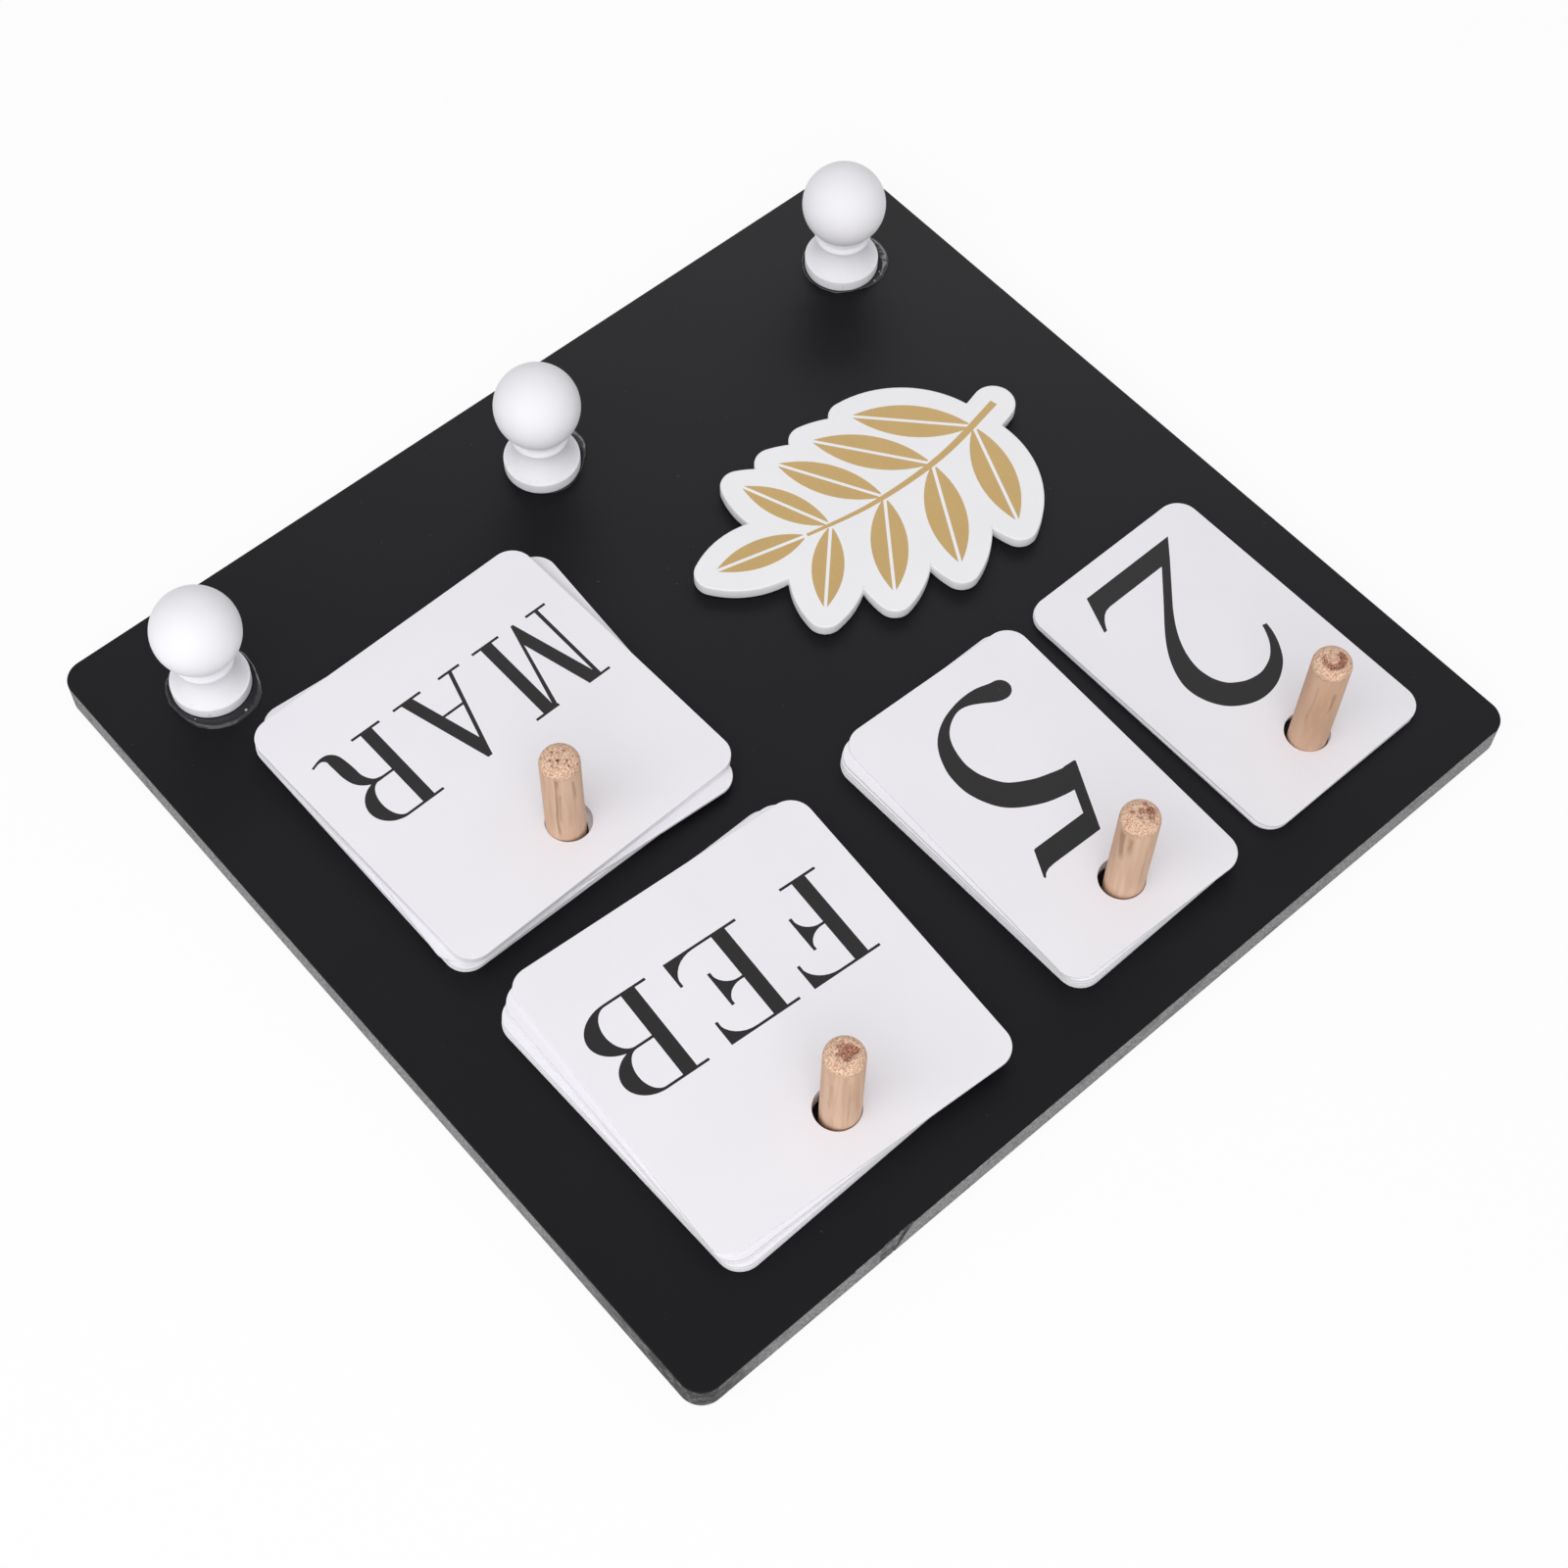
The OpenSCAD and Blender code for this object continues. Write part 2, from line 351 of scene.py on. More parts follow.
# Each pit in an end has its place off the peg's axis, its radius and its depth, in millimetres.
end_pits = {
    "tens": [(crescent_r * cos(a), crescent_r * sin(a), 1.15, 0.35 + 0.06 * i)
             for i, a in enumerate(crescent)],
    "units": [(-2.2, 0.9, 1.6, 0.7), (-1.2, 2.2, 1.0, 0.6), (-0.5, -0.5, 1.1, 0.5),
              (-2.6, -1.4, 0.9, 0.5), (1.4, -1.6, 0.8, 0.45), (0.9, 0.9, 0.5, 0.4)],
    "month": [(-0.6, 0.3, 2.5, 0.75), (-2.2, 1.1, 1.3, 0.7), (0.7, 1.4, 1.2, 0.55),
              (-0.5, -1.9, 1.2, 0.55), (1.7, -0.6, 0.8, 0.45)],
    "spare": [(0.9, 0.6, 0.5, 1.2), (-0.9, 1.9, 0.45, 0.5), (2.2, -0.6, 0.4, 0.5),
              (-2.0, -0.7, 0.5, 0.5), (0.4, -2.1, 0.45, 0.5), (2.4, 1.9, 0.4, 0.45),
              (-0.4, 3.2, 0.4, 0.5)],
}
heartwood = {"tens": 0.5, "units": 0.17, "month": 0.25, "spare": 0.2}
dark_veins = {
    "tens": [(2, 0.7, 8, 19, 0.45), (-2.6, 0.5, 6, 26, 0.2)],
    "units": [(-3.1, 0.9, 3, 17, 0.55), (-1.3, 0.5, 4, 13, 0.4), (3, 0.4, 9, 28, 0.15)],
    "month": [(1.6, 0.6, 6, 30, 0.15), (-2.5, 0.5, 8, 24, 0.18)],
    "spare": [(-0.7, 0.45, 2, 31, 0.55), (0.2, 0.3, 9, 24, 0.35), (3.2, 0.35, 4, 15, 0.4)],
}


def beech(axis_at, top_z, heart, veins):
    """Bare beech: drawn-out fibre with some dark veins. The end is crumbly, and reddish in its pits.
    A vein has its place across the front, its width, the depths it starts and ends at, and
    its strength."""
    wood = Finish("beech dowel", Specular_IOR_Level=0.3)
    fibre = wood.noise(0.9, 3, (1, 1, 0.05))
    band = wood.noise(0.22, 3, (1, 1, 0.15))
    crumb = wood.noise(2.3, 4)
    fleck = wood.noise(1.1, 3)
    pit = Tone(wood, wood.node("ShaderNodeAttribute", {"attribute_name": "pit"}).outputs["Fac"])
    x, y = wood.axis("X") - axis_at.x / MM, wood.axis("Y") - axis_at.y / MM
    depth = top_z / MM - wood.axis("Z")
    diagonal = 0.707
    across, front = (y - x) * diagonal, (x + y) * diagonal
    side = wood.mix(wood.rise(fibre, 0.3, 0.7), srgb(203, 167, 143), srgb(219, 187, 163))
    side = wood.mix(heart + wood.rise(band, 0.46, 0.74) * 0.4, side, srgb(184, 145, 118))
    for place, width, start, end, strength in veins:
        off = across - place + (band - 0.5) * 5
        vein = wood.rise(off * off, width * width, 0) * wood.rise(front, 0, 1)
        vein = vein * wood.rise(depth, start, start + 2) * wood.rise(depth, end, end - 5)
        side = wood.mix(vein * strength, side, srgb(124, 88, 60))
    end_grain = wood.mix(wood.rise(crumb, 0.36, 0.6), srgb(192, 145, 119), srgb(230, 200, 174))
    end_grain = wood.mix(wood.rise(fleck, 0.58, 0.68) * 0.65, end_grain, srgb(158, 108, 86))
    at_end = wood.rise(depth + 3 * crumb, 5.2, 3.6)
    colour = wood.mix(at_end, side, end_grain)
    scar = wood.mix(wood.rise(crumb, 0.38, 0.64), srgb(126, 78, 62), srgb(204, 152, 129))
    wood.set(Base_Color=wood.mix(wood.rise(pit, 0.08, 0.4), colour, scar), Roughness=0.62 + 0.2 * fibre)
    wood.bump(0.5 * fibre + at_end * (crumb + fleck), 0.14)
    return wood.material


for name in PEGS:
    node = "peg_" + name
    low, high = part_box(node)
    centre = middle_of(node)
    peg_r = (high[0] - low[0]) / 2
    top_z = high[2]
    bpy.ops.object.select_all(action="DESELECT")
    bpy.ops.mesh.primitive_cylinder_add(
        vertices=96, radius=peg_r, depth=high[2] - low[2], location=centre)
    dowel = bpy.context.object
    dowel.name = name + "_dowel"
    bpy.ops.object.transform_apply()
    mesh = open_for_edit(dowel, "EDGE")
    for edge in mesh.edges:
        edge.select_set(all(v.co.z > top_z - 0.1 * MM for v in edge.verts))
    bpy.ops.mesh.bevel(offset=rim_round, segments=16)
    close_edit()
    mesh = open_for_edit(dowel, "FACE")
    for face in mesh.faces:
        face.select_set(face.normal.z > 0.999)
    for _ in range(rings):
        bpy.ops.mesh.inset(thickness=(peg_r - rim_round) / (rings + 1))
    bpy.ops.mesh.poke()
    pits = mesh.verts.layers.float.new("pit")
    for vertex in mesh.verts:
        x, y = (vertex.co.x - centre.x) / MM, (vertex.co.y - centre.y) / MM
        near_end = max(0, min(1, 1.2 - (top_z - vertex.co.z) / rim_round))
        rough = 0.24 * abs(noise.noise((1.3 * x, 1.3 * y, centre.x / MM)))
        rough += 0.14 * abs(noise.noise((3.1 * x, 3.1 * y, centre.y / MM)))
        drop = 0
        for pit_x, pit_y, pit_r, pit_depth in end_pits[name]:
            reach = hypot(x - pit_x, y - pit_y) / pit_r
            ragged = 0.75 + 0.7 * noise.noise((2.4 * x, 2.4 * y, pit_x))
            drop = max(drop, pit_depth * ragged * max(0, 1 - reach ** 3))
        vertex.co.z -= near_end * (rough + drop) * MM
        vertex[pits] = drop * near_end
    bmesh.update_edit_mesh(dowel.data)
    close_edit()
    bpy.ops.object.shade_smooth_by_angle(angle=radians(60))
    dowel.data.materials.append(beech(centre, top_z, heartwood[name], dark_veins[name]))
    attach(dowel, "board")
    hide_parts(node)

# Knobs
# Three turned wooden knobs for hanging keys: a tenon in the board, a low base, a hollow, a
# neck with a bead, and a ball. They are sprayed white, thinly enough for lathe marks to show.

# The radii and heights of the turned profile, in millimetres.
base_r = 10.2
base_h = 3.4
rim_r = 0.3
neck_r = 6.8
cove_r = 8
bead_r = 0.9
bead_drop = 3
ball_r = 11.4
knob_h = 35.5
tenon_h = 6


def arc(centre_r, centre_z, radius, start, end, steps):
    """Points of a turned profile on an arc, with its angles in degrees."""
    turns = [radians(start + (end - start) * i / steps) for i in range(steps + 1)]
    return [(centre_r + radius * cos(a), centre_z + radius * sin(a)) for a in turns]


def turn_on_lathe(name, profile, axis_at, steps=96):
    """Spins a profile of radius and height, in millimetres, round an upright axis."""
    bpy.ops.object.select_all(action="DESELECT")
    bpy.ops.mesh.primitive_circle_add(vertices=len(profile), fill_type="NOTHING")
    piece = bpy.context.object
    piece.name = name
    for vertex, (r, z) in zip(piece.data.vertices, profile):
        vertex.co = axis_at + Vector((r, 0, z)) * MM
    mesh = open_for_edit(piece, "EDGE")
    on_axis = [e for e in mesh.edges if all(abs(v.co.x - axis_at.x) < 1e-7 for v in e.verts)]
    for edge in on_axis:
        edge.select_set(True)
    if on_axis:
        bpy.ops.mesh.delete(type="EDGE")
    bpy.ops.mesh.select_all(action="SELECT")
    bpy.ops.mesh.spin(steps=steps, angle=tau, center=axis_at, axis=(0, 0, 1))
    bpy.ops.mesh.select_all(action="SELECT")
    bpy.ops.mesh.remove_doubles(threshold=1e-6)
    bpy.ops.mesh.normals_make_consistent(inside=False)
    close_edit()
    bpy.ops.object.shade_smooth_by_angle(angle=radians(40))
    return piece


def white_paint():
    """Thin white paint over turned wood: lathe rings, a slight grain, and rubs on the base's rim."""
    paint = Finish("white paint", Specular_IOR_Level=0.2)
    height = paint.axis("Z") - board_top / MM
    lathe = paint.noise(0.9, 2, (0.08, 0.08, 1))
    grain = paint.noise(0.8, 4)
    cloud = paint.noise(0.05, 2)
    low_down = 1 - paint.rise(height, base_h - 0.4, base_h + 1.2)
    rub = low_down * paint.rise(grain, 0.58, 0.72)
    white = paint.mix(cloud, srgb(236, 235, 240), srgb(241, 240, 244))
    paint.set(Base_Color=paint.mix(rub * 0.3, white, srgb(168, 168, 170)), Roughness=0.45 + 0.16 * grain)
    paint.bump(0.5 * lathe + grain * (0.5 + low_down), 0.06)
    return paint.material


ball_z = knob_h - ball_r
cove_out = neck_r + cove_r - (base_r - rim_r)
cove_foot = atan2(-((cove_r ** 2 - cove_out ** 2) ** 0.5), -cove_out)
cove_z = base_h - cove_r * sin(cove_foot)
ball_foot = -acos(neck_r / ball_r)
bead_z = ball_z + ball_r * sin(ball_foot) - bead_drop
knob_profile = [(0, -tenon_h), (tenon_r / MM, -tenon_h), (tenon_r / MM, 0)]
knob_profile += arc(base_r - rim_r, rim_r, rim_r, -90, 0, 4)
knob_profile += arc(base_r - rim_r, base_h - rim_r, rim_r, 0, 90, 4)
knob_profile += arc(neck_r + cove_r, cove_z, cove_r, degrees(cove_foot) + 360, 180, 14)[1:]
knob_profile += arc(neck_r, bead_z, bead_r, -90, 90, 10)
knob_profile += arc(0, ball_z, ball_r, degrees(ball_foot), 90, 40)
knob_paint = white_paint()
for name in KNOBS:
    node = "knob_" + name
    centre = middle_of(node)
    knob = turn_on_lathe(name + "_knob", knob_profile, Vector((centre.x, centre.y, board_top)))
    knob.data.materials.append(knob_paint)
    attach(knob, "board")
    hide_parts(node)

# Glue rings
# Clear glue that the knobs pressed out as they were set. It dried in an uneven glossy bead
# round each base, and looks black on the black face.

# Each ring's even width and the width of its bulge in millimetres, and the bulge's side in degrees.
pools = {"left": (0.9, 2.5, 155), "middle": (0.35, 3.3, 200), "right": (1.6, 2.4, 88)}
pool_h = 0.6
least_reach = 0.25
bead_sides = 18


def dried_glue():
    """Clear glue over black, with ripples and a few pale specks painted in as glints."""
    glue = Finish("dried glue", Specular_IOR_Level=0.4, Roughness=0.18,
                  Coat_Weight=0.25, Coat_Roughness=0.08)
    ripple = glue.noise(0.45, 3)
    # Painted highlights: a few pale specks in the glue's colour stand in for glints.
    painted_glints = glue.rise(glue.noise(0.7, 1), 0.74, 0.77)
    clear = glue.mix(ripple, srgb(15, 15, 19), srgb(30, 30, 36))
    glue.set(Base_Color=glue.mix(painted_glints * 0.8, clear, srgb(190, 190, 196)))
    glue.bump(ripple, 0.4)
    return glue.material


glue_finish = dried_glue()
for name in KNOBS:
    node = "glue_" + name
    centre = middle_of(node)
    seat = Vector((centre.x, centre.y, board_top))
    width, bulge, bulge_at = pools[name]
    shares = [1 - i / bead_sides for i in range(bead_sides + 1)]
    section = [(base_r + share, pool_h * sin(pi * share ** 1.5) ** 0.7) for share in shares]
    pool = turn_on_lathe(name + "_glue", section, seat, steps=180)
    for vertex in pool.data.vertices:
        out = (vertex.co - seat) / MM
        r = hypot(out.x, out.y)
        reach = width + bulge * max(0, cos(atan2(out.y, out.x) - radians(bulge_at))) ** 2
        reach += 0.5 * noise.noise((0.14 * out.x, 0.14 * out.y, centre.x / MM))
        reach += 0.2 * noise.noise((0.5 * out.x, 0.5 * out.y, centre.x / MM))
        reach = max(least_reach, reach)
        grown = (base_r + (r - base_r) * reach) / r
        swell = min(1.2, 0.4 + 0.35 * reach)
        vertex.co = seat + Vector((out.x * grown, out.y * grown, out.z * swell)) * MM
    pool.data.materials.append(glue_finish)
    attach(pool, "board")
    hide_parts(node)

# Plaque tape
# A strip of thin double-sided foam tape, cut off a roll, that holds the plaque on the board.
# The plaque hides it, so it keeps its CAD shape and only gets a finish.


def foam_tape():
    """Pale foam with fine cells."""
    tape = Finish("foam tape", Roughness=0.8)
    cells = tape.noise(3, 2)
    tape.set(Base_Color=tape.mix(cells, srgb(206, 205, 198), srgb(228, 227, 221)))
    tape.bump(cells, 0.03)
    return tape.material


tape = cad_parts["plaque_tape"]
tape.data.materials.clear()
tape.data.materials.append(foam_tape())

# Plaque
# A white plate, cut along the outline of a leafy sprig and stuck to the board. The sprig is
# printed on it in flat gold: a bowed stem, pairs of leaves with a bare vein, and a tip leaf.

leaf_len = 33
leaf_w = 10.6
leaf_angle = 57
leaf_pitch = 17
pair_sizes = (1, 1, 0.92, 0.8)
tip_size = 0.8
stem_w = 1.8
stem_r = 130
stem_foot = 10
stem_len = stem_foot + (len(pair_sizes) - 1) * leaf_pitch + 7
vein_w = 0.9
leaf_gap = 0.04
leaf_share = 0.94
plaque_arris = 0.35 * MM
ink_t = 0.02 * MM


def white_plate():
    """Satin white board with a very fine grain."""
    plate = Finish("white plate", Specular_IOR_Level=0.35)
    grain = plate.noise(1.4, 4)
    cloud = plate.noise(0.06, 2)
    white = plate.mix(cloud, srgb(238, 238, 241), srgb(243, 243, 245))
    plate.set(Base_Color=white, Roughness=0.4 + 0.15 * grain)
    plate.bump(grain, 0.02)
    return plate.material


def gold_print():
    """Flat gold ink with small bright flakes."""
    gold = Finish("gold print", Metallic=0.2, Specular_IOR_Level=0.4)
    flake = gold.noise(3.2, 3)
    cloud = gold.noise(0.12, 2)
    tint = gold.mix(cloud, srgb(180, 149, 93), srgb(189, 157, 101))
    gold.set(Base_Color=gold.mix(gold.rise(flake, 0.5, 0.7) * 0.3, tint, srgb(206, 176, 122)))
    gold.set(Roughness=0.4 + 0.2 * flake)
    gold.bump(flake, 0.01)
    return gold.material


def slab(outline):
    """A flat plate one unit thick, of an outline that runs round once."""
    bpy.ops.object.select_all(action="DESELECT")
    bpy.ops.mesh.primitive_circle_add(vertices=len(outline), fill_type="NGON")
    plate = bpy.context.object
    for vertex, (x, y) in zip(plate.data.vertices, outline):
        vertex.co = (x, y, 0)
    open_for_edit(plate, "FACE")
    bpy.ops.mesh.select_all(action="SELECT")
    bpy.ops.mesh.extrude_region_move(TRANSFORM_OT_translate={"value": (0, 0, 1)})
    bpy.ops.mesh.select_all(action="SELECT")
    bpy.ops.mesh.normals_make_consistent(inside=False)
    close_edit()
    return plate


def print_of(name, outlines, unit):
    """One film of ink: the outlines joined to one shape, with a unit of theirs in metres."""
    parts = [slab(outline) for outline in outlines]
    pick(*parts)
    if len(parts) > 1:
        bpy.ops.object.join()
    film = bpy.context.object
    film.name = name
    apply_modifier(film, "BOOLEAN", operation="UNION", operand_type="COLLECTION",
                   solver="EXACT", use_self=True)
    open_for_edit(film, "FACE")
    bpy.ops.mesh.select_all(action="SELECT")
    bpy.ops.mesh.dissolve_limited(angle_limit=radians(0.5))
    close_edit()
    film.scale = (unit, unit, ink_t)
    bpy.ops.object.transform_apply()
    return film


def brush(*points, steps=8):
    """The outline of a pen stroke: a smooth line through points of x, y and width."""
    padded = [points[0], *points, points[-1]]
    line = []
    for i in range(len(points) - 1):
        a, b, c, d = (Vector(p) for p in padded[i:i + 4])
        for t in (k / steps for k in range(steps)):
            pull = (2 * a - 5 * b + 4 * c - d) * t * t + (3 * b - a - 3 * c + d) * t ** 3
            line.append(b + 0.5 * ((c - a) * t + pull))
    line.append(Vector(points[-1]))
    left, right = [], []
    for i, here in enumerate(line):
        ahead = line[min(i + 1, len(line) - 1)] - line[max(i - 1, 0)]
        side = Vector((-ahead.y, ahead.x)).normalized() * here.z / 2
        left.append((here.x + side.x, here.y + side.y))
        right.append((here.x - side.x, here.y - side.y))
    return left + right[::-1]


def on_stem(along, points):
    """Points drawn about the origin, moved to a distance along the bowed stem."""
    turn = Matrix.Rotation((stem_len / 2 - along) / stem_r, 2)
    return [tuple(turn @ Vector((x, y + stem_r))) for x, y in points]


def half_leaf(size, angle, side, steps=14):
    """One half of a leaf, from the bare vein out to an arc."""
    length, width = leaf_len * size, leaf_w * size
    edge_r = (length ** 2 + width ** 2) / (4 * width)
    drop = edge_r - width / 2
    outline = []
    for i in range(steps + 1):
        x = length * (leaf_gap + leaf_share * i / steps)
        y = (edge_r ** 2 - (x - length / 2) ** 2) ** 0.5 - drop
        outline.append((x, max(y, vein_w / 2 + 0.05)))
    outline += [(outline[-1][0], vein_w / 2), (outline[0][0], vein_w / 2)]
    turn = Matrix.Rotation(radians(angle), 2)
    return [tuple(turn @ Vector((x, side * y))) for x, y in outline]


def copy_of(master, name):
    """A copy of an object with a mesh of its own, selected alone."""
    copy = master.copy()
    copy.data = master.data.copy()
    copy.name = name
    bpy.context.collection.objects.link(copy)
    pick(copy)
    return copy


plaque = copy_of(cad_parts["plaque"], "white_plaque")
plaque.parent = None
plaque.data.materials.clear()
open_for_edit(plaque)
bpy.ops.mesh.select_all(action="SELECT")
bpy.ops.mesh.remove_doubles(threshold=1e-6)
bpy.ops.mesh.dissolve_limited(angle_limit=radians(0.5))
close_edit()
break_arrises(plaque, plaque_arris, segments=3)
plaque.data.materials.append(white_plate())
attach(plaque, "board")
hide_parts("plaque")

stem_shares = ((0, 1.15), (0.35, 1), (0.7, 0.75), (1, 0.5))
stem_line = [(*on_stem(along * stem_len, [(0, 0)])[0], width * stem_w) for along, width in stem_shares]
sprig = [brush(*stem_line)]
for side in (-1, 1):
    for i, size in enumerate(pair_sizes):
        for half in (-1, 1):
            sprig.append(on_stem(stem_foot + i * leaf_pitch, half_leaf(size, side * leaf_angle, half)))
    sprig.append(on_stem(stem_len, half_leaf(tip_size, 0, side)))
gold_sprig = print_of("gold_sprig", sprig, MM)
tape_middle = middle_of("plaque_tape")
tape_along = stem_foot + (len(pair_sizes) - 1) * leaf_pitch / 2
tape_on_stem = Vector(on_stem(tape_along, [(0, 0)])[0]) * MM
sprig_at = tape_middle.xy - tape_on_stem
gold_sprig.location = (sprig_at.x, sprig_at.y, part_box("plaque")[1][2])
bpy.ops.object.transform_apply()
gold_sprig.data.materials.append(gold_print())
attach(gold_sprig, "board")

# Cards
# White card, die-cut with round corners and a hole that is wide on its peg. The number
# cards are printed on both sides and the month cards on one, in black with thick and thin
# strokes. They lie loose on the pegs in piles, each a little out of line with the next.

card_h = 87
card_corner_r = 6
card_arris = 0.1
hole_inset = 14.5
hole_r = 5.9
hole_clearance = 0.9
digit_w = 57
month_w = 87
# From the lowest card up: its turn in degrees, and its shifts in shares of the hole's clearance.
piles = {
    "tens": (digit_w, [(0.1, -0.2, -0.9), (0.4, -0.6, -0.75)]),
    "units": (digit_w, [(1, 0.45, -0.85), (0.9, 0.4, -0.8), (0.7, 0.4, -0.85), (0.3, 0.35, -0.85),
                        (-2, 0.35, -0.75)]),
    "month": (month_w, [(1, 0.6, -0.7), (0.8, 0.65, -0.65), (0.6, 0.6, -0.7), (-1.3, 0.7, -0.6),
                        (-1.6, 0.65, -0.65), (-4, 0.4, -0.75)]),
    "spare": (month_w, [(0, 0.76, 0.6), (0.3, 0.6, 0.5), (-3.9, 0.93, 0.23), (1.1, -0.9, -0.3),
                        (1.3, -0.93, -0.1), (1.5, -0.95, 0.1)]),
}
prints = {
    "tens": ["01", "23"],
    "units": ["23", "01", "89", "67", "54"],
    "month": ["SEP", "OCT", "NOV", "DEC", "JAN", "FEB"],
    "spare": ["AUG", "JUL", "JUN", "MAY", "APR", "MAR"],
}
digit_h = 50.6
digit_base = {"tens": -65.1, "units": -63}
letter_h = 26.4
letter_base = -53.5
letter_gap = 4.6
word_shift = {"month": 1.4, "spare": 0.3}
word_turn = {"month": -0.4, "spare": -0.75}
stem = 15
thin = 4.1
hair = 2.7


def white_card():
    """Smooth white card with a faint mottle."""
    card = Finish("white card", Specular_IOR_Level=0.3)
    mottle = card.noise(0.05, 3)
    fibre = card.noise(1.8, 4)
    white = card.mix(mottle, srgb(237, 235, 241), srgb(242, 240, 245))
    card.set(Base_Color=white, Roughness=0.5 + 0.12 * fibre)
    card.bump(fibre, 0.008)
    return card.material


def cut_edge():
    """The die-cut edge of the card, with faint grey layers."""
    edge = Finish("cut edge", Specular_IOR_Level=0.2)
    layers = edge.noise(0.9, 3, (0.06, 0.06, 4))
    white = edge.mix(layers, srgb(224, 223, 227), srgb(248, 247, 250))
    edge.set(Base_Color=white, Roughness=0.75 + 0.15 * layers)
    edge.bump(layers, 0.04)
    return edge.material


def black_ink():
    """Matte printing ink, a little short of black."""
    ink = Finish("black ink", Specular_IOR_Level=0.18)
    mottle = ink.noise(0.5, 3)
    black = ink.mix(mottle, srgb(31, 30, 32), srgb(38, 37, 39))
    ink.set(Base_Color=black, Roughness=0.42 + 0.15 * mottle)
    ink.bump(mottle, 0.004)
    return ink.material


def bar(left, right, low, high):
    return [(left, low), (right, low), (right, high), (left, high)]


def upright(left, low=0, high=100, width=stem):
    return bar(left, left + width, low, high)


def foot(left, right, low=0):
    """A thin serif, or any other thin level stroke."""
    return bar(left, right, low, low + hair)


def head(left, right):
    return foot(left, right, 100 - hair)


def slope(low_x, low_y, high_x, high_y, width):
    """A straight slanting stroke with level ends, by the middles of its ends."""
    half = width / 2
    return [(low_x - half, low_y), (low_x + half, low_y),
            (high_x + half, high_y), (high_x - half, high_y)]


def bracket(x, y, across, up, steps=8):
    """The hollow wedge in a corner between a level and an upright stroke."""
    turns = [pi / 2 * i / steps for i in range(steps + 1)]
    return [(x, y)] + [(x + across * (1 - sin(a)), y + up * (1 - cos(a))) for a in turns]


def ring(x, y, across, up, thick, thin=hair, steps=24):
    """A round letter's two halves, thick at the sides and thin at the top and the bottom."""
    halves = []
    for start in (0, pi):
        outer, inner = [], []
        for i in range(steps + 1):
            a = start - pi / 2 - 0.06 + (pi + 0.12) * i / steps
            outer.append((x + across * cos(a), y + up * sin(a)))
            inner.append((x + (across - thick) * cos(a), y + (up - thin) * sin(a)))
        halves.append(outer + inner[::-1])
    return halves


def bowl(x, low, high, right, thick, steps=24):
    """The round half of a letter: from a thin level end at x, out to a thick side, and back."""
    middle, reach, half = (low + high) / 2, right - x, (high - low) / 2
    turns = [pi * i / steps - pi / 2 for i in range(steps + 1)]
    outer = [(x + reach * cos(a), middle + half * sin(a)) for a in turns]
    inner = [(x + (reach - thick) * cos(a), middle + (half - hair) * sin(a)) for a in turns]
    return outer + inner[::-1]


def beak(x, low, high, reach):
    """The narrow upright end of an arm, with a hollow wedge under or over it."""
    from_top = high > 60
    y = 100 - hair if from_top else hair
    inward = reach / abs(reach)
    rise = (low - y) if from_top else (high - y)
    return [bar(x + 2 * inward, x - inward, low, high), bracket(x + 1.2 * inward, y, reach, rise * 0.96)]


round_back = [(70, 79, 2.8), (60, 93, 4.4), (44, 98.6, 3.2), (22, 88, 11), (12, 50, 16), (22, 12, 11),
              (44, 1.4, 3.2)]
